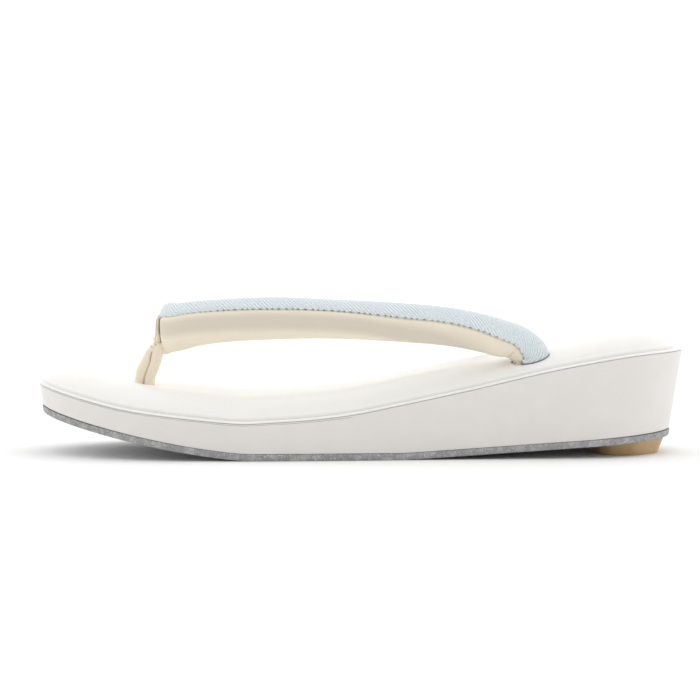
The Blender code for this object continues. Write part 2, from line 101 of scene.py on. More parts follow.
# station: share of LENGTH from the toe. side: how far the side has grown from toe to heel height.
# ledge: share of LEDGE_WIDTH between the rim and the cushion.
SIDE_ROWS = [
    # station, side, ledge
    (0.00, 0.000, 0.45),
    (0.08, 0.004, 0.90),
    (0.15, 0.012, 1.00),
    (0.25, 0.082, 1.00),
    (0.35, 0.130, 1.00),
    (0.45, 0.212, 1.00),
    (0.55, 0.385, 1.00),
    (0.65, 0.570, 1.00),
    (0.80, 0.862, 1.00),
    (0.90, 0.985, 1.05),
    (1.00, 1.000, 1.15),
]

# station and width of the sole, as a share of LENGTH and in metres
WIDTH_ROWS = [
    (0.00, BALL_WIDTH * 0.965),
    (0.34, BALL_WIDTH),
    (0.62, WAIST_WIDTH),
    (0.84, HEEL_WIDTH),
    (1.00, HEEL_WIDTH * 0.98),
]

# One strap arm, from the fold at the front to the hole at the side, in shares and degrees
ARM_ROWS = [
    # along, out, rise, tall, thick, facing, lean, seam_out, seam_in
    (0.000, 0.000, 0.757, 0.74, 0.46, 180, 0, 58, 60),
    (0.008, 0.180, 0.798, 1.10, 0.62, 158, 0, 62, 61),
    (0.034, 0.330, 0.812, 1.08, 0.78, 134, 2, 64, 62),
    (0.085, 0.500, 0.882, 1.015, 0.94, 120, 4, 64, 62),
    (0.165, 0.700, 0.969, 0.957, 0.97, 113, 7, 66, 62),
    (0.300, 0.935, 1.020, 0.93, 1.00, 106, 10, 70, 62),
    (0.470, 1.110, 0.972, 0.845, 1.00, 98, 12, 72, 60),
    (0.640, 1.195, 0.825, 0.84, 0.99, 92, 12, 83, 54),
    (0.800, 1.190, 0.602, 0.825, 0.98, 89, 10, 87, 47),
    (0.905, 1.125, 0.374, 0.80, 0.97, 88, 7, 95, 38),
    (0.972, 1.040, 0.193, 0.755, 0.96, 89, 4, 108, 26),
    (1.000, 1.000, 0.020, 0.785, 0.94, 90, 0, 122, 16),
]
ARM_TAIL_SIZE = 0.97

# The toe loop in the middle plane, from the front leg over the fold to the rear leg, in shares
LOOP_ROWS = [
    # forward, apart, level, over, wide, thick
    (0.885, 0.590, 0.000, 0.00, 1.00, 1.04),
    (0.850, 0.560, 0.235, 0.00, 1.00, 1.12),
    (0.770, 0.555, 0.447, 0.00, 0.95, 1.22),
    (0.680, 0.550, 0.570, 0.00, 0.85, 1.12),
    (0.600, 0.530, 0.750, 0.00, 0.72, 0.84),
    (0.505, 0.555, 0.900, 0.00, 0.55, 0.62),
    (0.285, 0.430, 1.131, 0.00, 0.38, 0.56),
    (0.240, 0.390, 1.300, 0.00, 0.30, 0.57),
    (0.235, 0.375, 1.650, 0.00, 0.30, 0.50),
    (0.180, 0.320, 1.900, 0.22, 0.25, 0.46),
    (0.000, 0.000, 2.000, 0.35, 0.20, 0.44),
    (-0.160, -0.320, 1.900, 0.22, 0.10, 0.48),
    (-0.230, -0.370, 1.650, 0.00, 0.00, 0.56),
    (-0.240, -0.385, 1.300, 0.00, 0.00, 0.62),
    (-0.200, -0.320, 1.090, 0.00, 0.00, 0.70),
    (0.020, -0.060, 1.000, -0.10, 0.15, 0.88),
    (0.165, -0.040, 1.020, 0.00, 0.45, 1.28),
    (0.310, -0.030, 0.925, 0.00, 0.60, 1.28),
    (0.425, -0.060, 0.640, 0.00, 0.75, 1.14),
    (0.520, -0.060, 0.447, 0.00, 0.90, 1.10),
    (0.700, -0.230, 0.235, 0.00, 1.00, 1.08),
    (0.885, -0.675, 0.000, 0.00, 1.00, 1.18),
]

# Folds of the toe loop: heights above the floor, and distances along the loop above the tie
PLEAT = 0.045 * MM
PLEAT_WANDER = 6 * MM
PLEAT_ROWS = [
    # gathers round the loop, how far they wander, phase, share
    (11, 1.6, 0.0, 1.0),
    (17, -1.1, 2.0, 0.8),
    (27, 0.9, 0.7, 0.6),
]
TIE_HEIGHT = 40.9 * MM
TIE_LIP = 0.75 * MM
TIE_LIP_REACH = 1.1 * MM
LEGS_MEET = 40.5 * MM
LEGS_APART = -0.10 * MM
LEGS_EASE = 1.5 * MM
BAND_LENGTH = 12 * MM
BAND_START = 1.5 * MM
BAND_STOP = 2 * MM
BAND_CALM = 0.6
GROOVE = 0.30 * MM
GROOVE_AT = -0.35
GROOVE_REACH = 0.22
GROOVE_SIDE = 0.6
PINCH_FILL = 0.9 * MM
PINCH_REACH = 2.2 * MM
PINCH_START = -0.4 * MM
PINCH_END = 9 * MM
LOOP_CLOTH_RADIUS = 2 * MM

# The seam between the face cloth and the lining
SEAM_ANGLES = [0, 0.7, 1.4, 2.2, 3.2, 4.4, 6.0, 8.5, 12.0]
SEAM_ANGLES_END = 16
STITCH_PITCH = 2.3 * MM
STITCH_DRIFT = 0.35 * MM
STITCH_DRIFT_LENGTH = 8.3 * MM
STITCH_PULL = 0.18 * MM
SEAM_SLACK = 0.10 * MM
SHOULDER = 0.50 * MM
SHOULDER_PULL = 0.30 * MM
SHOULDER_REACH = 0.55 * MM
EDGE_ROLL = 0.45 * MM
EDGE_PULL = 0.35 * MM
EDGE_REACH = 0.45 * MM

# Where the seam gets painted shade: at the stitches, fading out towards the fold, all over the face
# inside the fold, and as a painted shadow near the cover
STITCH_PAINTED_SHADE = 0.4 * MM
FOLD_HIDDEN = 2.3 * MM
FOLD_FADE = 0.9 * MM
PLAIN_SEAM = 0.32 * MM
PLAIN_SEAM_END = 34 * MM
PLAIN_SEAM_FADE = 16 * MM
COVER_PAINTED_SHADOW = 0.55
# How far before the hole the painted shade across the lining's middle has faded out
PAINTED_SHADE_FADE = 60 * MM

# The strap's padding ahead of its rear hole; angles are measured from the top of the section
UNDERSIDE = 152
UNDERSIDE_REACH = 40
BULGE = 0.30 * MM
BULGE_AT = 13 * MM
BULGE_REACH = 3.2 * MM
NOTCH = 0.95 * MM
NOTCH_AT = 8.6 * MM
NOTCH_REACH = 0.8 * MM
NOTCH_SLANT = 0.030 * MM
CREASE = 0.28 * MM
CREASE_FROM_NOTCH = 2.8 * MM
CREASE_REACH = 0.6 * MM

# The holes, the cover round them and the cover's pull lines
HOLE_EASE = 0.32 * MM
HOLE_SHIFT = 0.22 * MM
LIP_DEPTH = 0.45 * MM
LIP_REACH = 0.9 * MM
PULL_HEIGHT = 0.07 * MM
PULL_AT = 2.5 * MM
PULL_REACH = 2.2 * MM
PULL_ROWS = [
    # pull lines round a hole, phase, share
    (11, 0.8, 0.6),
    (17, 2.1, 0.4),
]
PLUG_BELOW = 0.8 * MM
HOLE_WALL = 0.03 * MM
REFINED_REACHES = (7 * MM, 2.2 * MM)
REFINED_INSIDE = -2.0 * MM

# Slight waves of the surfaces: height and size
COVER_WAVES = [(0.05 * MM, 26 * MM)]
WALL_WAVES = [(0.03 * MM, 48 * MM), (0.006 * MM, 9 * MM)]
WALL_WAVES_FADE = 2 * MM
OUTSOLE_FUZZ = [(0.05 * MM, 1.7 * MM), (0.04 * MM, 0.9 * MM)]

# Edge profiles of the sole's pieces, in mm unless said otherwise
WALL_FOOT_ROWS = [
    # back from the wall, up
    (2.5, 0.0), (0.30, 0.0), (0.10, 0.03), (0.02, 0.10), (0.0, 0.24),
]
WALL_TOP_ROWS = [
    # back from the wall, down from the rim
    (0.0, 0.50), (0.02, 0.26), (0.09, 0.11), (0.22, 0.02), (0.45, 0.0), (3.5, 0.0),
]
OUTSOLE_ROWS = [
    # back from the edge, up from the underside
    (14.0, 0.00), (6.0, 0.00), (2.4, 0.00), (1.0, 0.00), (0.62, 0.03), (0.42, 0.12),
    (0.30, 0.30), (0.20, 0.60), (0.12, 0.95), (0.06, 1.30), (0.02, 1.65), (0.00, 2.00),
    (0.00, 2.24), (0.06, 2.36), (0.25, 2.40), (3.0, 2.40),
]
FUZZ_END = 2.3
LIFT_FOOT = 0.62
LIFT_FOOT_ROWS = [
    # back from the side, up
    (3.0, 0.0), (0.5, 0.0), (0.2, 0.05), (0.05, 0.18), (0.0, LIFT_FOOT),
]
LIFT_SIDE_SHARES = (0.3, 0.6, 0.85)
LIFT_TOP_BACKS = (0.0, 0.4, 3.0)
LIFT_FRONT_DRAFT = 0.25
BEAD_ROWS = [
    # share of the ledge in from the rim, height above the rim
    (0.90, 0.10), (0.30, 0.10), (0.10, 0.11), (0.04, 0.15), (0.015, 0.24), (0.02, 0.36),
    (0.05, 0.50), (0.09, 0.62), (0.14, 0.72), (0.21, 0.80), (0.30, 0.85), (0.42, 0.84),
    (0.54, 0.79), (0.68, 0.74), (0.80, 0.72), (0.90, 0.74), (0.965, 0.80),
]
TUCK_ROWS = [
    # in from the foot of the cushion, height above the rim
    (0.02, 0.92), (0.00, 1.08), (-0.02, 1.26), (0.00, 1.46), (0.06, 1.68), (0.16, 1.90),
    (0.32, 2.14), (0.54, 2.36), (0.80, 2.60),
]

# How finely the pieces are meshed
CAP_SAMPLES = 240
MIDDLE_SAMPLES = 400
CHUNK = 4000
ROUND_POINTS = 512
DISTANCE_POINTS = 384
WALL_ROWS = 26
DOME_ROWS = 40
DOME_START = 0.056
DOME_SPACING = 1.4
CROWN_ROWS = 16
CROWN_END = 0.97
CROWN_SHORTER = 0.25
ARM_STEP = 0.42 * MM
FACE_STEP = 0.26 * MM
LINING_POINTS = 30
HIDDEN_POINTS = 10
FACE_POINTS = 14
BASE_ROWS = 60
LOOP_STEP = 0.28 * MM
LOOP_POINTS = 112
LIFT_POINTS = 160
PLUG_POINTS = 96

# Colours
BLUE_GROUND = (0.50, 0.62, 0.69)
BLUE_RIB = (0.985, 0.985, 0.97)
# Painted shade along the blue face's seam, inside its fold and where it meets the cover
SEAM_PAINTED_SHADE = (0.19, 0.24, 0.27)
# Painted shade in the toe loop's grooves
FOLD_PAINTED_SHADE = (0.30, 0.21, 0.13)
# Painted shade inside the holes
HOLE_PAINTED_SHADE = (0.05, 0.045, 0.04)
SIDE_LIGHT = (0.80, 0.775, 0.75)
SIDE_DARK = (0.785, 0.76, 0.73)
TOP_LIGHT = (0.885, 0.875, 0.845)
TOP_DARK = (0.87, 0.86, 0.83)
CREAM_LIGHT = (0.88, 0.80, 0.66)
CREAM_DARK = (0.86, 0.775, 0.635)
# Painted shade across the middle of the strap lining
CREAM_PAINTED_SHADE = (0.70, 0.63, 0.53)
LOOP_LIGHT = (0.95, 0.86, 0.72)
LOOP_DARK = (0.92, 0.82, 0.66)
OUTSOLE_PLAIN = (0.42, 0.42, 0.435)
OUTSOLE_DARK = (0.20, 0.20, 0.21)
OUTSOLE_LIGHT = (0.42, 0.417, 0.42)
OUTSOLE_FLECK = (0.68, 0.675, 0.67)
OUTSOLE_PIT = (0.20, 0.20, 0.215)
RUBBER_LIGHT = (0.62, 0.43, 0.225)
RUBBER_DARK = (0.52, 0.35, 0.17)
FLOOR_COLOUR = (0.97, 0.97, 0.965)

# Values of the attribute "edge" where a painted shade starts and where it is full
HOLE_DEPTHS = (0.15 * MM, 0.9 * MM)
PAINTED_SEAM_RANGE = (0.30 * MM, 0.02 * MM)
GROOVE_PAINTED_SHADE = (0.15, 1.3)
PAINTED_SHADE_FROM_SEAM = (0.4 * MM, 3.4 * MM)
PAINTED_SHADE_TO_UNDERSIDE = (9.4 * MM, 5.8 * MM)

# Weaves
THREAD_PITCH = 0.30 * MM
TWILL_PITCH = 0.52 * MM
STRONG_RIB = 1.9
FLOAT_PITCH = 0.7 * MM
RIB_WANDER = 0.45 * MM

# The camera, at the photograph's height and distance, and the studio
CAMERA_PLACE = (-0.0039, -0.550, 0.0568)
CAMERA_TILT_DEG = 90 - 2.03
CAMERA_LENS = 75.8
SKY_LIFT = 0.6
SKY_START = -1.0
SKY_END = 0.35
WORLD_NEAR = 0.43
WORLD_FAR = 1.275
FLOOR_HALF = 6.0


def smooth(rows, key, at):
    """A smooth curve through column key of rows, read at values of column 0."""
    table = np.array(rows, float)
    knots, values = table[:, 0], table[:, key]
    slopes = np.gradient(values, knots)
    at = np.clip(np.atleast_1d(np.asarray(at, float)), knots[0], knots[-1])
    low = np.clip(np.searchsorted(knots, at, side="right") - 1, 0, len(knots) - 2)
    span = knots[low + 1] - knots[low]
    t = (at - knots[low]) / span
    return (
        (2 * t**3 - 3 * t**2 + 1) * values[low]
        + (t**3 - 2 * t**2 + t) * span * slopes[low]
        + (3 * t**2 - 2 * t**3) * values[low + 1]
        + (t**3 - t**2) * span * slopes[low + 1]
    )


def rounded(turn, roundness):
    """Cosine and sine of angles round a section: 2 is an ellipse, and more is squarer."""
    cosine, sine = np.cos(turn), np.sin(turn)
    power = 2 / roundness
    return np.sign(cosine) * np.abs(cosine) ** power, np.sign(sine) * np.abs(sine) ** power


def waves(points, size):
    """Soft irregular waves of about that size, from -1 to 1, the same each time."""
    total = np.zeros(len(points))
    for k in range(7):
        angle, tilt = 2.4 * k + 0.6, 1.1 * k
        way = np.array([math.cos(angle), math.sin(angle), math.sin(tilt)])
        stretch = 1 + 0.23 * k
        total += np.sin(points @ way * (2 * math.pi * stretch / size) + 1.7 * k) / stretch
    return total / 3.4


def waviness(points, rows):
    """The sum of waves of several heights and sizes."""
    return sum(height * waves(points, size) for height, size in rows)


def station(x):
    """Share of the length from the toe at x."""
    return np.clip(np.asarray(x, float) / LENGTH + 0.5, 0.0, 1.0)


def place(share):
    """The x at a share of the length from the toe."""
    return (share - 0.5) * LENGTH


def underside(x, flat_end, rise_power):
    """Height of an underside that springs up at the toe and rises behind flat_end."""
    u = station(x)
    toe = np.clip((CONTACT_START - u) / CONTACT_START, 0, 1) ** TOE_SPRING_POWER
    heel = np.clip((u - flat_end) / (1 - flat_end), 0, 1) ** rise_power
    return TOE_SPRING * toe + HEEL_RISE * heel


def rim_height(x):
    """Height of the wall's top edge, the same as the solids have."""
    share = smooth(SIDE_ROWS, 1, station(x))
    side = SIDE_AT_TOE + (SIDE_AT_HEEL - SIDE_AT_TOE) * share
    return underside(x, CONTACT_END, HEEL_RISE_POWER) + side


def sole_height(x):
    """Underside of the sole: it stays flat a little further back than the simpler solids do."""
    return underside(x, SOLE_FLAT_END, SOLE_RISE_POWER)


def ledge_width(x):
    """Width of the ledge between the rim and the foot of the cushion."""
    return LEDGE_WIDTH * smooth(SIDE_ROWS, 2, station(x))


def outline(count):
    """The closed rim outline: point i and point -i are mirror images, and point 0 is the toe."""
    turn = np.linspace(0, math.pi / 2, CAP_SAMPLES)
    toe = TOE_CAP_LENGTH * (1 - np.cos(turn))
    heel = LENGTH - HEEL_CAP_LENGTH * (1 - np.cos(turn[::-1]))
    middle = np.linspace(TOE_CAP_LENGTH, LENGTH - HEEL_CAP_LENGTH, MIDDLE_SAMPLES)[1:-1]
    along = np.concatenate([toe, middle, heel])
    cap = np.concatenate([np.sin(turn), np.ones(len(middle)), np.sin(turn[::-1])])
    half = smooth(WIDTH_ROWS, 1, along / LENGTH) / 2 * cap
    dense = np.column_stack([along - LENGTH / 2, half])
    reached = run_length(dense)
    even = np.linspace(0, reached[-1], count // 2 + 1)
    one = np.column_stack([np.interp(even, reached, dense[:, k]) for k in (0, 1)])
    one[0, 1] = one[-1, 1] = 0.0
    return np.concatenate([one, one[-2:0:-1] * [1, -1]])


def run_length(points):
    """Distance along a line of points, from 0 at its first point."""
    step = np.linalg.norm(np.diff(points, axis=0), axis=1)
    return np.concatenate([[0], np.cumsum(step)])


def at_even_steps(table, dimensions, step):
    """Distances along the line through a table's first columns, and every column there."""
    reached = run_length(table[:, :dimensions])
    at = np.linspace(0, reached[-1], int(reached[-1] / step) + 1)
    rows = np.column_stack([reached, table])
    return at, [smooth(rows, k, at) for k in range(1, rows.shape[1])]


def unit(rows):
    """Each row as a vector of length 1."""
    return rows / np.linalg.norm(rows, axis=1)[:, None]


RIM = outline(ROUND_POINTS)
NEAR_RIM = outline(DISTANCE_POINTS)


def inset(points, distance):
    """The closed outline moved inwards by distance, a number or one for each point."""
    along = unit(np.roll(points, -1, axis=0) - np.roll(points, 1, axis=0))
    outward = np.column_stack([-along[:, 1], along[:, 0]])
    moved = points - outward * np.broadcast_to(distance, len(points))[:, None]
    half = len(points) // 2
    moved[0, 1] = moved[half, 1] = 0.0
    return moved


def edge_distance(points):
    """Distance of each (x, y) from the rim outline."""
    start, end = NEAR_RIM, np.roll(NEAR_RIM, -1, axis=0)
    span = end - start
    found = []
    for first in range(0, len(points), CHUNK):
        some = points[first:first + CHUNK]
        share = np.einsum("pij,ij->pi", some[:, None] - start[None], span)
        share = np.clip(share / (span**2).sum(axis=1), 0, 1)
        nearest = start[None] + share[..., None] * span[None]
        found.append(np.linalg.norm(some[:, None] - nearest, axis=2).min(axis=1))
    return np.concatenate(found)


def loop_hole_x():
    """Middle of the toe loop's two legs, where they go into the cover."""
    return place(FOLD_STATION) - STRAP_THICKNESS * (LOOP_ROWS[0][0] + LOOP_ROWS[-1][0]) / 2


def dimple(points):
    """How far the cover is drawn down round the three holes."""
    holes = [
        (place(ANCHOR_STATION), ANCHOR_SPREAD, DIMPLE_LENGTH, DIMPLE_WIDTH),
        (place(ANCHOR_STATION), -ANCHOR_SPREAD, DIMPLE_LENGTH, DIMPLE_WIDTH),
        (loop_hole_x(), 0.0, FRONT_DIMPLE, FRONT_DIMPLE),
    ]
    pull = np.zeros(len(points))
    for x, y, long_reach, wide_reach in holes:
        away = ((points[:, 0] - x) / long_reach) ** 2 + ((points[:, 1] - y) / wide_reach) ** 2
        pull = np.maximum(pull, DIMPLE_DEPTH * np.exp(-away))
    return pull


def footbed_height(points):
    """Top of the padded footbed at each (x, y) inside its ledge."""
    points = np.atleast_2d(np.asarray(points, float))
    away = edge_distance(points) - ledge_width(points[:, 0])
    share = np.clip(away / DOME_REACH, 0, 1)
    swell = (1 - (1 - share) ** DOME_POWER) ** (1 / DOME_SWELL)
    dome = LEDGE_HEIGHT + (DOME_HEIGHT - LEDGE_HEIGHT) * swell
    return rim_height(points[:, 0]) + dome - dimple(points)


def ring(points, heights):
    """The (x, y) points raised to one height, or to a height for each."""
    return np.column_stack([points, np.broadcast_to(heights, len(points))])


def rim_ring(inwards, above):
    """The rim moved inwards, at a height above the wall's top edge."""
    points = inset(RIM, inwards)
    return ring(points, rim_height(points[:, 0]) + above)


# Mesh helpers


def band(rows, caps=False, uv=None, tags=None):
    """A bmesh through rings of points, with UVs in metres if given.

    A tag for each point, if given, is kept as the attribute "edge", which the materials read for
    painted shade.
    """
    bm = bmesh.new()
    bm.verts.layers.int.new("top")
    tag_layer = bm.verts.layers.float.new("edge") if tags is not None else None
    layer = bm.loops.layers.uv.new("cloth") if uv is not None else None
    verts = [[bm.verts.new(p) for p in row] for row in rows]
    if tags is not None:
        for row, values in zip(verts, tags):
            for vert, value in zip(row, values):
                vert[tag_layer] = value
    count = len(verts[0])
    for r in range(len(verts) - 1):
        for i in range(count):
            j = (i + 1) % count
            face = bm.faces.new([verts[r][i], verts[r][j], verts[r + 1][j], verts[r + 1][i]])
            if layer is not None:
                spots = [(r, i), (r, i + 1), (r + 1, i + 1), (r + 1, i)]
                for corner, (a, b) in zip(face.loops, spots):
                    corner[layer].uv = uv[a][b]
    if caps:
        bm.faces.new(verts[0])
        bm.faces.new(verts[-1][::-1])
    return bm, verts


def close_across(bm, verts):
    """Closes a mirrored ring with faces that run straight across from side to side."""
    count = len(verts)
    for i in range(count // 2):
        corners = [verts[i], verts[i + 1], verts[-i - 1], verts[-i % count]]
        bm.faces.new(list(dict.fromkeys(corners)))


def shell(rows):
    """A closed bmesh through mirrored rings, its first and last ring closed across."""
    bm, verts = band(rows)
    close_across(bm, verts[0])
    close_across(bm, verts[-1])
    return bm, verts


def finished(name, bm):
    """The bmesh as a smooth object in the scene."""
    bmesh.ops.recalc_face_normals(bm, faces=bm.faces)
    mesh = bpy.data.meshes.new(name)
    bm.to_mesh(mesh)
    bm.free()
    obj = bpy.data.objects.new(name, mesh)
    bpy.context.scene.collection.objects.link(obj)
    mesh.shade_smooth()
    return obj


def hole_distance(points, centre, half, roundness):
    """About how far each (x, y) lies outside a rounded outline; negative inside it."""
    dx = np.abs(points[:, 0] - centre[0]) / half[0]
    dy = np.abs(points[:, 1] - centre[1]) / half[1]
    size = (dx**roundness + dy**roundness) ** (1 / roundness)
    return (size - 1) * min(half)


# The strap's line


def arm_table():
    """ARM_ROWS in metres, with the tail in the hole."""
    rows = np.array(ARM_ROWS, float)
    fold, anchor = place(FOLD_STATION), place(ANCHOR_STATION)
    x = fold + (anchor - fold) * rows[:, 0]
    y = ANCHOR_SPREAD * rows[:, 1]
    z = footbed_height(np.column_stack([x, y])) + STRAP_RISE * rows[:, 2]
    table = np.column_stack([x, y, z, rows[:, 3:]])
    tail = table[-1].copy()
    tail[3:5] *= ARM_TAIL_SIZE
    mid_tail = tail.copy()
    mid_tail[2] -= STRAP_TAIL_DEPTH / 2
    tail[2] -= STRAP_TAIL_DEPTH
    return np.vstack([table, mid_tail, tail])


def arm_sections(step):
    """Along one arm, at even steps: distance, centre, outward, upward, half sizes, seam angles."""
    at, columns = at_even_steps(arm_table(), 3, step)
    x, y, z, tall, thick, facing, lean, seam_out, seam_in = columns
    y[0] = 0.0
    centre = np.column_stack([x, y, z])
    ahead = np.gradient(centre, at, axis=0)
    ahead[0] = [0, 1, 0]
    ahead[-2:] = [0, 0, -1]
    ahead = unit(ahead)
    turn = np.radians(facing)
    outward = np.column_stack([np.cos(turn), np.sin(turn), np.zeros(len(turn))])
    upward = unit(np.cross(ahead, outward))
    outward = np.cross(upward, ahead)
    tilt = np.radians(lean)[:, None]
    leaned_up = upward * np.cos(tilt) - outward * np.sin(tilt)
    leaned_out = outward * np.cos(tilt) + upward * np.sin(tilt)
    half_tall = tall * STRAP_HEIGHT / 2
    half_thick = thick * STRAP_THICKNESS / 2
    return at, centre, leaned_out, leaned_up, half_tall, half_thick, seam_out, seam_in


def section_points(angles, half_tall, half_thick, grow):
    """Points of a strap section at angles from its top, positive outwards, as (out, up) offsets."""
    up, out = rounded(np.radians(angles), STRAP_ROUNDNESS)
    return np.column_stack([out * (half_thick + grow), up * (half_tall + grow)])


def in_space(flat, centre, outward, upward):
    """A flat section set in its place along the strap."""
    return centre + flat[:, :1] * outward + flat[:, 1:] * upward


def both_arms(name, rows, uv, tags):
    """A piece through one arm's rows and their mirror images on the other side of the fold."""
    rows = [row * [1, -1, 1] for row in rows[:0:-1]] + rows
    uv = [[(-u, v) for u, v in row] for row in uv[:0:-1]] + uv
    bm, _ = band(rows, caps=True, uv=uv, tags=tags[:0:-1] + tags)
    return finished(name, bm)


def crowded(first, last, count):
    """Angles from first to last, close together near both ends, where the seams are."""
    near = np.array(SEAM_ANGLES)
    middle = np.linspace(first + SEAM_ANGLES_END, last - SEAM_ANGLES_END, count)
    return np.concatenate([first + near, middle, last - near[::-1]])


def from_ends(flat):
    """Distance of each point of an open section from the nearer of its two ends."""
    along = run_length(flat)
    return np.minimum(along, along[-1] - along)


def stitch_pull(s):
    """How hard the seam is pulled in, from 0 to 1, at a distance along the strap."""
    drift = STITCH_DRIFT * math.sin(2 * math.pi * s / STITCH_DRIFT_LENGTH)
    return (0.5 + 0.5 * math.cos(2 * math.pi * (s + drift) / STITCH_PITCH)) ** 2


def anchor_folds(ahead, under):
    """The rear end of the padding: a bulge that rests on the cover, and a notch before the hole."""
    low = np.exp(-(((under - UNDERSIDE) / UNDERSIDE_REACH) ** 2))
    bulge = BULGE * math.exp(-(((ahead - BULGE_AT) / BULGE_REACH) ** 2))
    slant = ahead - NOTCH_AT - NOTCH_SLANT * (under - UNDERSIDE)
    notch = -NOTCH * np.exp(-((slant / NOTCH_REACH) ** 2))
    crease = -CREASE * np.exp(-(((slant + CREASE_FROM_NOTCH) / CREASE_REACH) ** 2))
    return low * (bulge + notch + crease)


def build_lining():
    """The padded tube of the strap, drawn in along the seams and folded near the holes."""
    rows, uv, tags = [], [], []
    recess = FACE_THICKNESS - FACE_PROUD + GAP
    sections = arm_sections(ARM_STEP)
    hole_at = sections[0][-1] - STRAP_TAIL_DEPTH
    for s, centre, out, up, tall, thick, seam_out, seam_in in zip(*sections):
        under = crowded(seam_out, 360 - seam_in, LINING_POINTS)
        top = np.linspace(360 - seam_in, 360 + seam_out, HIDDEN_POINTS)[1:-1]
        edge = from_ends(section_points(under, tall, thick, 0))
        drawn = SHOULDER + SHOULDER_PULL * stitch_pull(s)
        shoulder = -drawn * np.exp(-((edge / SHOULDER_REACH) ** 2))
        folds = anchor_folds(hole_at - s, under)
        flat = np.vstack([
            section_points(under, tall, thick, shoulder + folds),
            section_points(top, tall, thick, -recess),
        ])
        rows.append(in_space(flat, centre, out, up))
        around = run_length(np.vstack([flat, flat[:1]]))
        uv.append([(s, v) for v in around])
        # The painted shade across the lining's middle fades out towards the hole
        fade = np.clip((hole_at - s) / PAINTED_SHADE_FADE, 0, 1)
        tags.append(list(edge * fade) + [0] * len(top))
    return both_arms("Strap_Lining", rows, uv, tags)


def build_face():
    """The twill cloth over the strap, its edges turned in and held by small stitches."""
    rows, uv, tags = [], [], []
    for s, centre, out, up, tall, thick, seam_out, seam_in in zip(*arm_sections(FACE_STEP)):
        pull = stitch_pull(s)
        slack = math.degrees((SEAM_SLACK + STITCH_PULL * pull) / tall)
        across = crowded(slack - seam_in, seam_out - slack, FACE_POINTS)
        edge = from_ends(section_points(across, tall, thick, 0))
        roll = -(EDGE_ROLL + EDGE_PULL * pull) * np.exp(-((edge / EDGE_REACH) ** 2))
        outer = section_points(across, tall, thick, FACE_PROUD + roll)
        inner = section_points(across[[-1, 0]], tall, thick, FACE_PROUD - FACE_THICKNESS)
        flat = np.vstack([outer, inner])
        rows.append(in_space(flat, centre, out, up))
        around = run_length(np.vstack([flat, flat[:1]]))
        uv.append([(s, v) for v in around])
        # Painted shade: inside the fold, under the toe loop, the whole face takes the seam's
        # painted shade
        shown = np.clip((s - FOLD_HIDDEN) / FOLD_FADE, 0, 1)
        # Painted shade at the seam: dotted by the stitches, and fainter towards the fold
        plain = PLAIN_SEAM * np.clip((PLAIN_SEAM_END - s) / PLAIN_SEAM_FADE, 0, 1)
        tags.append(list((edge + STITCH_PAINTED_SHADE * (1 - pull) + plain) * shown) + [0, 0])
    # Painted shadow: near the cover, the face's base takes the seam's painted shade
    for row, values in zip(rows[-BASE_ROWS:], tags[-BASE_ROWS:]):
        above = row[:, 2] - cushion_height(row[:, :2])
        values[:] = np.minimum(values, np.maximum(0, COVER_PAINTED_SHADOW * above))
    return both_arms("Strap_Face", rows, uv, tags)


def loop_table():
    """LOOP_ROWS in metres as x, z, width and thickness, with the tails in the hole."""
    rows = np.array(LOOP_ROWS, float)
    _, centre, _, _, half_tall, _, _, _ = arm_sections(ARM_STEP)
    floor = footbed_height([(loop_hole_x(), 0.0)])[0]
    levels = [floor, centre[0, 2] - half_tall[0], centre[0, 2] + half_tall[0]]
    x = place(FOLD_STATION) - STRAP_THICKNESS * rows[:, 0] - LOOP_THICKNESS * rows[:, 1]
    z = np.interp(rows[:, 2], [0, 1, 2], levels) + LOOP_THICKNESS * rows[:, 3]
    wide = LOOP_CROTCH_WIDTH + (LOOP_WIDTH - LOOP_CROTCH_WIDTH) * rows[:, 4]
    table = np.column_stack([x, z, wide, LOOP_THICKNESS * rows[:, 5]])
    front, rear = table[0].copy(), table[-1].copy()
    front[1] -= LOOP_TAIL_DEPTH
    rear[1] -= LOOP_TAIL_DEPTH
    return np.vstack([front, table, rear])


def pleats(turn, s):
    """Small gathers round the toe loop, which wander along it."""
    wander = math.sin(s / PLEAT_WANDER)
    return sum(
        share * np.cos(n * turn + far * wander + phase) for n, far, phase, share in PLEAT_ROWS
    )


def met_in_middle(x, z, thick):
    """The toe loop's two legs made thicker until they all but touch, as in the photograph."""
    summit = int(np.argmax(z))
    legs = [np.arange(summit), np.arange(summit, len(z))]
    legs = [leg[z[leg] < LEGS_MEET] for leg in legs]
    inner = [x[leg] + way * thick[leg] / 2 for leg, way in zip(legs, (1, -1))]
    x, thick = x.copy(), thick.copy()
    for one, other, way in ((0, 1, 1), (1, 0, -1)):
        order = np.argsort(z[legs[other]])
        faced = np.interp(z[legs[one]], z[legs[other]][order], inner[other][order])
        grow = np.maximum(0, way * (faced - inner[one]) / 2 - LEGS_APART)
        grow *= np.clip((LEGS_MEET - z[legs[one]]) / LEGS_EASE, 0, 1)
        x[legs[one]] += way * grow / 2
        thick[legs[one]] += grow
    return x, thick


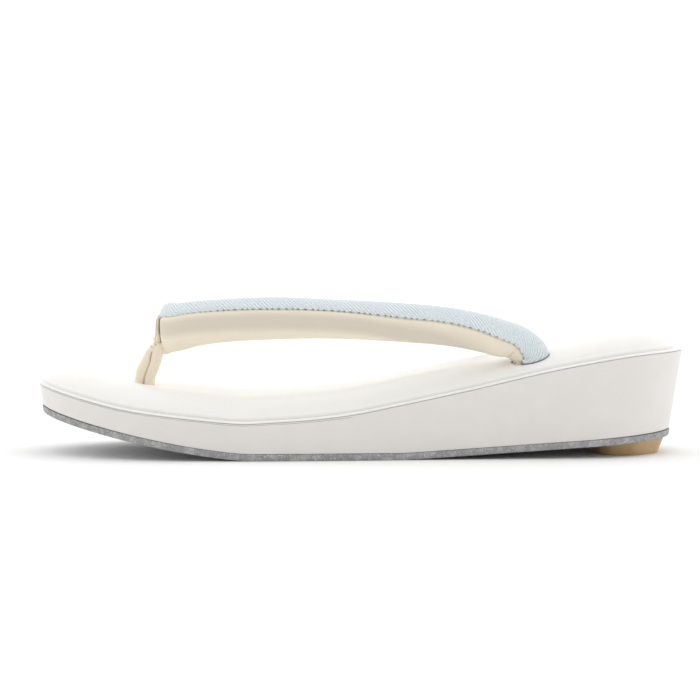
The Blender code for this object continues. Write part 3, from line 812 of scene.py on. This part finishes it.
def loop_rows(step):
    """Sections along the toe loop, gathered into small pleats, with the painted shade in its folds.
    """
    at, (x, z, wide, thick) = at_even_steps(loop_table(), 2, step)
    x, thick = met_in_middle(x, z, thick)
    along = np.column_stack([np.gradient(x, at), np.gradient(z, at)])
    along[0], along[-1] = (0, 1), (0, -1)
    along = unit(along)
    turn = np.linspace(0, 2 * math.pi, LOOP_POINTS, endpoint=False)
    side, front = rounded(turn, LOOP_ROUNDNESS)
    tie = at[np.argmin(np.abs(z - TIE_HEIGHT) + (x > place(FOLD_STATION)))]
    sections, uv, tags = [], [], []
    for i in range(len(at)):
        across = np.array([along[i, 1], 0, -along[i, 0]])
        above = at[i] - tie
        lip = TIE_LIP * math.exp(-above / TIE_LIP_REACH) if 0 <= above < BAND_LENGTH else 0.0
        on_band = np.clip(above / BAND_START, 0, 1)
        on_band *= np.clip((BAND_LENGTH - above) / BAND_STOP, 0, 1)
        groove = np.exp(-(((front - GROOVE_AT) / GROOVE_REACH) ** 2)) * (np.abs(side) > GROOVE_SIDE)
        groove *= on_band
        pinched = PINCH_START < above < PINCH_END
        fill = PINCH_FILL * math.exp(-((above / PINCH_REACH) ** 2)) if pinched else 0.0
        grow = PLEAT * pleats(turn, at[i]) * (1 - BAND_CALM * on_band) - GROOVE * groove
        grow = grow + lip * (front < 0) + fill * (front > 0)
        points = np.array([x[i], 0, z[i]]) + (front * (thick[i] / 2 + grow))[:, None] * across
        points[:, 1] += side * (wide[i] / 2 + grow)
        sections.append(points)
        uv.append([(at[i], v) for v in np.append(turn, 2 * math.pi) * LOOP_CLOTH_RADIUS])
        tags.append(groove)
    return sections, uv, tags


def build_loop():
    """The toe loop: two legs up from the hole, tied below the fold, and a band over it."""
    rows, uv, tags = loop_rows(LOOP_STEP)
    bm, _ = band(rows, caps=True, uv=uv, tags=tags)
    return finished("Toe_Loop", bm)


# The sole


def wall_inset(depth):
    """How far the tapered wall stands in from the rim at a depth below it."""
    return depth * math.tan(math.radians(WALL_TAPER_DEG))


def build_core():
    """The wrapped wall of the wedge, with soft edges and the slight waves of stretched cloth."""
    low = sole_height(RIM[:, 0]) + OUTSOLE_THICKNESS + GAP / 3
    depth = rim_height(RIM[:, 0]) - low
    rows = []
    for back, up in WALL_FOOT_ROWS:
        points = inset(RIM, wall_inset(depth - up * MM) + back * MM)
        rows.append(ring(points, low + up * MM))
    for share in np.linspace(0, 1, WALL_ROWS + 2)[1:-1]:
        points = inset(RIM, wall_inset(depth * (1 - share)))
        row = ring(points, low + depth * share)
        fade = np.minimum(1, np.minimum(share, 1 - share) * depth / WALL_WAVES_FADE)
        moved = inset(points, -waviness(row, WALL_WAVES) * fade)
        rows.append(ring(moved, row[:, 2]))
    for back, down in WALL_TOP_ROWS:
        rows.append(rim_ring(wall_inset(down * MM) + back * MM, -down * MM))
    bm, _ = shell(rows)
    return finished("Wedge_Wall", bm)


def outsole_outline():
    """The outline of the outsole's top, which stands out a little past the wall."""
    depth = rim_height(RIM[:, 0]) - sole_height(RIM[:, 0]) - OUTSOLE_THICKNESS
    return inset(RIM, wall_inset(depth) - OUTSOLE_MARGIN)


def build_outsole():
    """The split-leather sheet, its cut edge rough and its lower corner rubbed round."""
    top = outsole_outline()
    rows = []
    for back, up in OUTSOLE_ROWS:
        points = inset(top, back * MM)
        height = sole_height(points[:, 0]) + up * MM
        row = ring(points, height)
        if 0 < up < FUZZ_END:
            row = ring(inset(points, -waviness(row, OUTSOLE_FUZZ)), height)
        rows.append(row)
    bm, _ = shell(rows)
    return finished("Outsole_Sheet", bm)


def lift_outline(count):
    """The D-shaped outline of the top of the heel block."""
    rear = inset(outsole_outline(), LIFT_REAR_INSET)[:, 0].max()
    widest = rear - LIFT_LENGTH * (1 - LIFT_WIDEST)
    turn = np.linspace(math.pi, 0, count // 2 + 1)
    ahead = np.cos(turn) < 0
    reach = LIFT_LENGTH * np.where(ahead, LIFT_WIDEST, 1 - LIFT_WIDEST)
    back, out = rounded(turn, np.where(ahead, LIFT_FRONT_ROUNDNESS, LIFT_REAR_ROUNDNESS))
    one = np.column_stack([widest + back * reach, out * LIFT_WIDTH / 2])
    one[0, 1] = one[-1, 1] = 0.0
    return np.concatenate([one, one[-2:0:-1] * [1, -1]])


def build_lift():
    """The rubber block under the heel, with moulded round edges."""
    top = lift_outline(LIFT_POINTS)
    front, rear = top[:, 0].min(), top[:, 0].max()
    behind = np.clip(2 * (top[:, 0] - front) / (rear - front) - 0.5, 0, 1)
    draft = LIFT_DRAFT * (LIFT_FRONT_DRAFT + (1 - LIFT_FRONT_DRAFT) * behind)
    rows = []
    for back, up in LIFT_FOOT_ROWS:
        points = inset(top, draft + back * MM)
        rows.append(ring(points, up * MM))
    foot = LIFT_FOOT * MM
    for share in LIFT_SIDE_SHARES:
        points = inset(top, draft * (1 - share))
        height = sole_height(points[:, 0]) - GAP / 3
        rows.append(ring(points, foot + (height - foot) * share))
    for back in LIFT_TOP_BACKS:
        points = inset(top, back * MM)
        rows.append(ring(points, sole_height(points[:, 0]) - GAP / 3))
    bm, _ = shell(rows)
    return finished("Heel_Block", bm)


def hole_shapes():
    """Centre, half sizes and roundness of the strap's two holes and the loop's hole."""
    _, centre, _, _, half_tall, half_thick, _, _ = arm_sections(ARM_STEP)
    half = (half_tall[-1] + FACE_PROUD + HOLE_EASE, half_thick[-1] + FACE_PROUD + HOLE_EASE)
    x, y = centre[-1, :2] + HOLE_SHIFT
    table = loop_table()
    front = table[0, 0] - table[0, 3] / 2 - HOLE_EASE
    rear = table[-1, 0] + table[-1, 3] / 2 + HOLE_EASE
    loop_half = ((rear - front) / 2, table[0, 2] / 2 + HOLE_EASE)
    return [
        ((x, y), half, STRAP_ROUNDNESS),
        ((x, -y), half, STRAP_ROUNDNESS),
        (((front + rear) / 2, 0.0), loop_half, LOOP_HOLE_ROUNDNESS),
    ]


def cushion_height(points):
    """Top of the cover with its finer forms: lips at the holes, pull lines and slight waves."""
    height = footbed_height(points)
    for centre, half, roundness in HOLES:
        away = hole_distance(points, centre, half, roundness)
        height -= LIP_DEPTH * np.exp(-((np.maximum(away, 0) / LIP_REACH) ** 2))
        angle = np.arctan2(points[:, 1] - centre[1], points[:, 0] - centre[0])
        pulls = sum(share * np.cos(n * angle + phase) for n, phase, share in PULL_ROWS)
        height += PULL_HEIGHT * pulls * np.exp(-((away - PULL_AT) / PULL_REACH) ** 2)
    return height + waviness(ring(points, 0.0), COVER_WAVES)


def build_footbed():
    """The padded cover: a rolled bead at the rim, a crease and the cushion."""
    ledge = ledge_width(RIM[:, 0])
    rows = [rim_ring(ledge * share, height * MM) for share, height in BEAD_ROWS]
    rows += [rim_ring(ledge + back * MM, height * MM) for back, height in TUCK_ROWS]
    first_top = len(rows)
    for share in DOME_START + (1 - DOME_START) * np.linspace(0, 1, DOME_ROWS) ** DOME_SPACING:
        points = inset(RIM, ledge + DOME_REACH * share)
        rows.append(ring(points, cushion_height(points)))
    inner = rows[-1][:, :2]
    for share in np.linspace(0, CROWN_END, CROWN_ROWS)[1:]:
        points = inner * [1 - CROWN_SHORTER * share, 1 - share]
        rows.append(ring(points, cushion_height(points)))
    bm, verts = shell(rows)
    top = bm.verts.layers.int["top"]
    for row in verts[first_top:]:
        for v in row:
            v[top] = 1
    for reach in REFINED_REACHES:
        refine_round_holes(bm, top, reach)
    return finished("Footbed_Cover", bm)


def refine_round_holes(bm, top, reach):
    """Splits the cover's faces near each hole, and sets the new points on the cushion."""
    found = [v for v in bm.verts if v[top] == 1]
    flat = np.array([v.co[:2] for v in found])
    near = np.zeros(len(found), bool)
    for centre, half, roundness in HOLES:
        away = hole_distance(flat, centre, half, roundness)
        near |= (away < reach) & (away > REFINED_INSIDE)
    chosen = {v for v, close in zip(found, near) if close}
    edges = [e for e in bm.edges if e.verts[0] in chosen and e.verts[1] in chosen]
    made = bmesh.ops.subdivide_edges(bm, edges=edges, cuts=1, use_grid_fill=True)
    fresh = [g for g in made["geom_inner"] if isinstance(g, bmesh.types.BMVert)]
    for v in fresh:
        v[top] = 1
    heights = cushion_height(np.array([v.co[:2] for v in fresh]))
    for v, z in zip(fresh, heights):
        v.co.z = z


def plugs():
    """Upright plugs that cut the three holes; they are deleted afterwards."""
    made = []
    low = arm_table()[-1, 2] - PLUG_BELOW
    front_low = loop_table()[0, 1] - PLUG_BELOW
    for (centre, half, roundness), floor in zip(HOLES, (low, low, front_low)):
        along, aside = rounded(np.linspace(0, 2 * math.pi, PLUG_POINTS, endpoint=False), roundness)
        points = np.column_stack([centre[0] + along * half[0], centre[1] + aside * half[1]])
        bm, _ = band([ring(points, floor), ring(points, LENGTH)], caps=True)
        made.append(finished("plug", bm))
    return made


def cut_holes(pieces):
    """Cuts the holes into each piece and applies the cut."""
    cutters = plugs()
    for obj in pieces:
        for cutter in cutters:
            modifier = obj.modifiers.new("hole", "BOOLEAN")
            modifier.operation = "DIFFERENCE"
            modifier.solver = "EXACT"
            modifier.object = cutter
        apply_modifiers(obj)
        mark_depth(obj.data)
    for cutter in cutters:
        bpy.data.objects.remove(cutter)


def mark_depth(mesh):
    """Keeps how deep each point on a hole's wall lies, for the painted shade inside."""
    points = np.empty(len(mesh.vertices) * 3)
    mesh.vertices.foreach_get("co", points)
    points = points.reshape(-1, 3)
    inside = np.zeros(len(points), bool)
    for centre, half, roundness in HOLES:
        inside |= hole_distance(points, centre, half, roundness) < HOLE_WALL
    depth = np.zeros(len(points))
    depth[inside] = np.maximum(0, cushion_height(points[inside, :2]) - points[inside, 2])
    mesh.attributes.new("edge", "FLOAT", "POINT").data.foreach_set("value", depth)


def apply_modifiers(obj):
    """Replaces a piece's mesh by the result of its modifiers."""
    depsgraph = bpy.context.evaluated_depsgraph_get()
    mesh = bpy.data.meshes.new_from_object(obj.evaluated_get(depsgraph))
    obj.modifiers.clear()
    old = obj.data
    obj.data = mesh
    bpy.data.meshes.remove(old)


# Materials


class Look:
    """A material and short ways to add and join its nodes."""

    def __init__(self, name, colour, rough, **values):
        self.material = bpy.data.materials.new(name)
        self.material.use_nodes = True
        self.tree = self.material.node_tree
        self.shader = self.tree.nodes["Principled BSDF"]
        self.put(self.shader, "Base Color", (*colour, 1))
        self.put(self.shader, "Roughness", rough)
        for key, value in values.items():
            self.put(self.shader, key.replace("_", " "), value)

    def put(self, node, key, value):
        """Sets an input, or links it to a node's output."""
        if isinstance(value, bpy.types.NodeSocket):
            self.tree.links.new(value, node.inputs[key])
        else:
            node.inputs[key].default_value = value

    def add(self, kind, inputs=(), out=0, **settings):
        """Adds a node and returns one of its outputs."""
        node = self.tree.nodes.new("ShaderNode" + kind)
        for key, value in settings.items():
            setattr(node, key, value)
        for key, value in dict(inputs).items():
            self.put(node, key, value)
        return node.outputs[out]

    def where(self):
        """The place on the piece, in metres."""
        return self.add("TexCoord", out="Object")

    def cloth(self):
        """Along and across the cloth, in metres."""
        return self.add("UVMap", uv_map="cloth")

    def edge(self):
        """The attribute that band and mark_depth keep for the painted shade in seams, folds, holes
        and the lining's middle.
        """
        return self.add("Attribute", out=2, attribute_name="edge")

    def split(self, vector):
        """The x, y and z of a vector."""
        node = self.tree.nodes.new("ShaderNodeSeparateXYZ")
        self.put(node, "Vector", vector)
        return node.outputs

    def math(self, kind, a, b=0.0):
        """A sum, product, sine and so on of one or two values."""
        return self.add("Math", {0: a, 1: b}, operation=kind)

    def total(self, *terms):
        """The sum of outputs, each times a number."""
        parts = [self.math("MULTIPLY", value, share) for value, share in terms]
        found = parts[0]
        for part in parts[1:]:
            found = self.math("ADD", found, part)
        return found

    def wave(self, value, pitch):
        """A sine that repeats every pitch."""
        return self.math("SINE", self.math("MULTIPLY", value, 2 * math.pi / pitch))

    def noise(self, vector, size, detail=3.0, rough=0.5):
        """Noise with features of that size in metres."""
        inputs = {"Vector": vector, "Scale": 1 / size, "Detail": detail, "Roughness": rough}
        return self.add("TexNoise", inputs)

    def ramp(self, value, low, high):
        """0 below low and 1 above high, smoothly between."""
        inputs = {"Value": value, "From Min": low, "From Max": high}
        return self.add("MapRange", inputs, interpolation_type="SMOOTHSTEP")

    def blend(self, share, first, second):
        """A colour between two, by a share."""
        inputs = {0: share, 6: self.colour(first), 7: self.colour(second)}
        return self.add("Mix", inputs, out=2, data_type="RGBA")

    def colour(self, value):
        """A plain colour with its alpha, or a node's output as it is."""
        return value if isinstance(value, bpy.types.NodeSocket) else (*value, 1)

    def bump(self, height, depth, strength):
        """Bump of that depth in metres, where the height runs from 0 to 1."""
        return self.add("Bump", {"Height": height, "Distance": depth, "Strength": strength})

    def use(self, **links):
        """Links outputs to the shader's inputs, and returns the finished material."""
        for key, value in links.items():
            self.put(self.shader, key.replace("_", " "), value)
        return self.material


def leather_cloth(name, light, dark, rough):
    """Off-white coated leather cloth: very fine grain, faint mottling, a soft gloss and painted
    shade inside the holes.
    """
    look = Look(name, light, rough, Coat_Weight=0.15, Coat_Roughness=0.32, Specular_IOR_Level=0.5)
    where = look.where()
    pebble = look.add("TexVoronoi", {"Vector": where, "Scale": 1 / (0.6 * MM)}, feature="SMOOTH_F1")
    fine = look.noise(where, 0.3 * MM, 2.0)
    broad = look.noise(where, 9 * MM, 3.0)
    normal = look.bump(look.total((pebble, 0.6), (fine, 0.5)), 0.03 * MM, 0.5)
    mottled = look.blend(look.ramp(broad, 0.35, 0.70), dark, light)
    # Painted shade inside the holes, darker deeper down
    shaded = look.blend(look.ramp(look.edge(), *HOLE_DEPTHS), mottled, HOLE_PAINTED_SHADE)
    inputs = {"Value": fine, "To Min": rough - 0.05, "To Max": rough + 0.08}
    return look.use(Base_Color=shaded, Roughness=look.add("MapRange", inputs), Normal=normal)


def split_leather():
    """Grey split leather: matted fibres with pale flecks and darker pits."""
    look = Look("split_leather", OUTSOLE_PLAIN, 0.95, Sheen_Weight=0.15)
    where = look.where()
    fibres = look.noise(where, 0.9 * MM, 6.0, 0.7)
    patches = look.noise(where, 3.4 * MM, 3.0, 0.6)
    flecks = look.ramp(look.noise(where, 0.50 * MM, 4.0, 0.65), 0.53, 0.64)
    pits = look.ramp(look.noise(where, 1.1 * MM, 4.0, 0.6), 0.56, 0.70)
    base = look.blend(fibres, OUTSOLE_DARK, OUTSOLE_LIGHT)
    clouds = look.math("MULTIPLY", look.ramp(patches, 0.45, 0.62), 0.35)
    clouded = look.blend(clouds, base, OUTSOLE_FLECK)
    pale = look.blend(flecks, clouded, OUTSOLE_FLECK)
    pitted = look.blend(look.math("MULTIPLY", pits, 0.5), pale, OUTSOLE_PIT)
    height = look.math("ADD", fibres, look.math("MULTIPLY", flecks, 0.4))
    return look.use(Base_Color=pitted, Normal=look.bump(height, 0.16 * MM, 0.9))


def amber_rubber():
    """Amber rubber: smooth, slightly cloudy, with a satin skin."""
    look = Look("amber_rubber", RUBBER_LIGHT, 0.42, Subsurface_Weight=0.12, Subsurface_Scale=2 * MM)
    look.put(look.shader, "Subsurface Radius", (1.0, 0.5, 0.2))
    where = look.where()
    cloudy = look.noise(where, 6 * MM, 3.0)
    scuffs = look.noise(where, 0.8 * MM, 3.0, 0.6)
    base = look.blend(look.ramp(cloudy, 0.35, 0.7), RUBBER_DARK, RUBBER_LIGHT)
    return look.use(Base_Color=base, Normal=look.bump(scuffs, 0.03 * MM, 0.4))


def cream_cloth(name, light, dark, middle=None, shade=None):
    """Smooth cream cloth: a close plain weave, with painted shade across its middle or in its
    folds.
    """
    look = Look(name, light, 0.70, Sheen_Weight=0.3, Sheen_Roughness=0.35)
    along, across, _ = look.split(look.cloth())
    weave = look.math("MULTIPLY", look.wave(along, THREAD_PITCH), look.wave(across, THREAD_PITCH))
    where = look.where()
    slubs = look.noise(where, 0.8 * MM, 4.0, 0.6)
    broad = look.noise(where, 12 * MM, 2.0)
    base = look.blend(look.ramp(broad, 0.3, 0.72), dark, light)
    edge = look.edge()
    # Painted shade across the middle of the lining's face, lighter near the seam and near the
    # underside
    if middle is not None:
        inward = look.ramp(edge, *PAINTED_SHADE_FROM_SEAM)
        outward = look.ramp(edge, *PAINTED_SHADE_TO_UNDERSIDE)
        base = look.blend(look.math("MULTIPLY", inward, outward), base, middle)
    # Painted shade in the toe loop's grooves
    if shade is not None:
        base = look.blend(look.ramp(edge, *shade), base, FOLD_PAINTED_SHADE)
    height = look.total((weave, 0.22), (slubs, 0.4))
    return look.use(Base_Color=base, Normal=look.bump(height, 0.05 * MM, 0.5))


def blue_twill():
    """Pale blue twill: light diagonals over a blue ground, with painted shade along the seam."""
    look = Look("blue_twill", BLUE_GROUND, 0.88, Sheen_Weight=0.2, Sheen_Roughness=0.5)
    from_fold, across, _ = look.split(look.cloth())
    where = look.where()
    wander = look.math("MULTIPLY", look.noise(where, 2.2 * MM, 3.0), RIB_WANDER)
    along = look.math("ADD", look.math("ABSOLUTE", from_fold), wander)
    rib = look.math("SUBTRACT", along, across)
    step = look.math("ADD", along, across)
    pitch = TWILL_PITCH * math.sqrt(2)
    ribs = look.wave(rib, pitch)
    patches = look.ramp(look.noise(where, 4.6 * MM, 2.0), 0.36, 0.58)
    strong = look.math("MULTIPLY", look.wave(rib, pitch * STRONG_RIB), patches)
    floats = look.wave(step, FLOAT_PITCH)
    streak = look.add("CombineXYZ", {0: look.math("MULTIPLY", step, 0.30), 1: rib})
    uneven = look.math("SUBTRACT", look.noise(streak, 0.42 * MM, 4.0, 0.7), 0.5)
    speck = look.math("SUBTRACT", look.noise(where, 0.32 * MM, 3.0, 0.7), 0.5)
    shade = look.total((ribs, 0.24), (floats, 0.10), (strong, 0.62), (uneven, 3.4), (speck, 1.9))
    base = look.blend(look.ramp(shade, -1.2, 1.4), BLUE_GROUND, BLUE_RIB)
    # Painted shade along the seam, inside the fold and at the cover, read from the attribute "edge"
    seam_shaded = look.blend(look.ramp(look.edge(), *PAINTED_SEAM_RANGE), base, SEAM_PAINTED_SHADE)
    return look.use(Base_Color=seam_shaded, Normal=look.bump(shade, 0.06 * MM, 0.6))


def dress(obj, material, slot, *nodes):
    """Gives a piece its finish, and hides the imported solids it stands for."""
    obj.data.materials.clear()
    obj.data.materials.append(material)
    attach(obj, "root")
    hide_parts(*nodes)


# The studio


def set_camera():
    """The camera, at the photograph's viewing angle."""
    camera = bpy.data.objects.new("camera", bpy.data.cameras.new("camera"))
    bpy.context.scene.collection.objects.link(camera)
    camera.location = CAMERA_PLACE
    camera.rotation_euler = (math.radians(CAMERA_TILT_DEG), 0, 0)
    camera.data.sensor_width = 36
    camera.data.lens = CAMERA_LENS
    camera.data.clip_start = 0.01
    bpy.context.scene.camera = camera


def set_world():
    """A white studio: bright behind and above the shoe, softer on the camera's side."""
    world = bpy.data.worlds.new("studio")
    bpy.context.scene.world = world
    world.use_nodes = True
    tree = world.node_tree
    background = tree.nodes["Background"]
    coords = tree.nodes.new("ShaderNodeTexCoord")
    split = tree.nodes.new("ShaderNodeSeparateXYZ")
    tree.links.new(coords.outputs["Generated"], split.inputs[0])
    raised = tree.nodes.new("ShaderNodeMath")
    raised.operation = "MULTIPLY_ADD"
    raised.inputs[1].default_value = SKY_LIFT
    tree.links.new(split.outputs["Z"], raised.inputs[0])
    tree.links.new(split.outputs["Y"], raised.inputs[2])
    shade = tree.nodes.new("ShaderNodeMapRange")
    shade.interpolation_type = "SMOOTHSTEP"
    shade.inputs["From Min"].default_value = SKY_START
    shade.inputs["From Max"].default_value = SKY_END
    shade.inputs["To Min"].default_value = WORLD_NEAR
    shade.inputs["To Max"].default_value = WORLD_FAR
    tree.links.new(raised.outputs["Value"], shade.inputs["Value"])
    tree.links.new(shade.outputs["Result"], background.inputs["Strength"])
    background.inputs["Color"].default_value = (1, 1, 1, 1)


def set_floor():
    """A plain pale floor."""
    bm = bmesh.new()
    bmesh.ops.create_grid(bm, x_segments=1, y_segments=1, size=FLOOR_HALF)
    floor = finished("floor", bm)
    look = Look("floor", FLOOR_COLOUR, 0.9, Specular_IOR_Level=0.1)
    floor.data.materials.append(look.material)


HOLES = hole_shapes()


def main():
    """Builds and dresses every piece."""
    set_camera()
    set_world()
    set_floor()
    bpy.context.scene.view_settings.view_transform = "Standard"

    side = leather_cloth("side_leather_cloth", SIDE_LIGHT, SIDE_DARK, 0.42)
    cover = leather_cloth("top_leather_cloth", TOP_LIGHT, TOP_DARK, 0.40)
    core = build_core()
    footbed = build_footbed()
    cut_holes([core, footbed])
    dress(core, side, "side_cover", "wedge_core")
    dress(footbed, cover, "top_cover", "footbed")
    dress(build_outsole(), split_leather(), "outsole", "outsole")
    dress(build_lift(), amber_rubber(), "heel_rubber", "heel_lift")
    lining = build_lining()
    cream = cream_cloth("cream_cloth", CREAM_LIGHT, CREAM_DARK, middle=CREAM_PAINTED_SHADE)
    dress(lining, cream, "cream_cloth", "strap_lining")
    dress(build_face(), blue_twill(), "blue_cloth", "strap_face")
    gathered = cream_cloth("loop_cloth", LOOP_LIGHT, LOOP_DARK, shade=GROOVE_PAINTED_SHADE)
    dress(build_loop(), gathered, "loop_cloth", "toe_loop")


main()
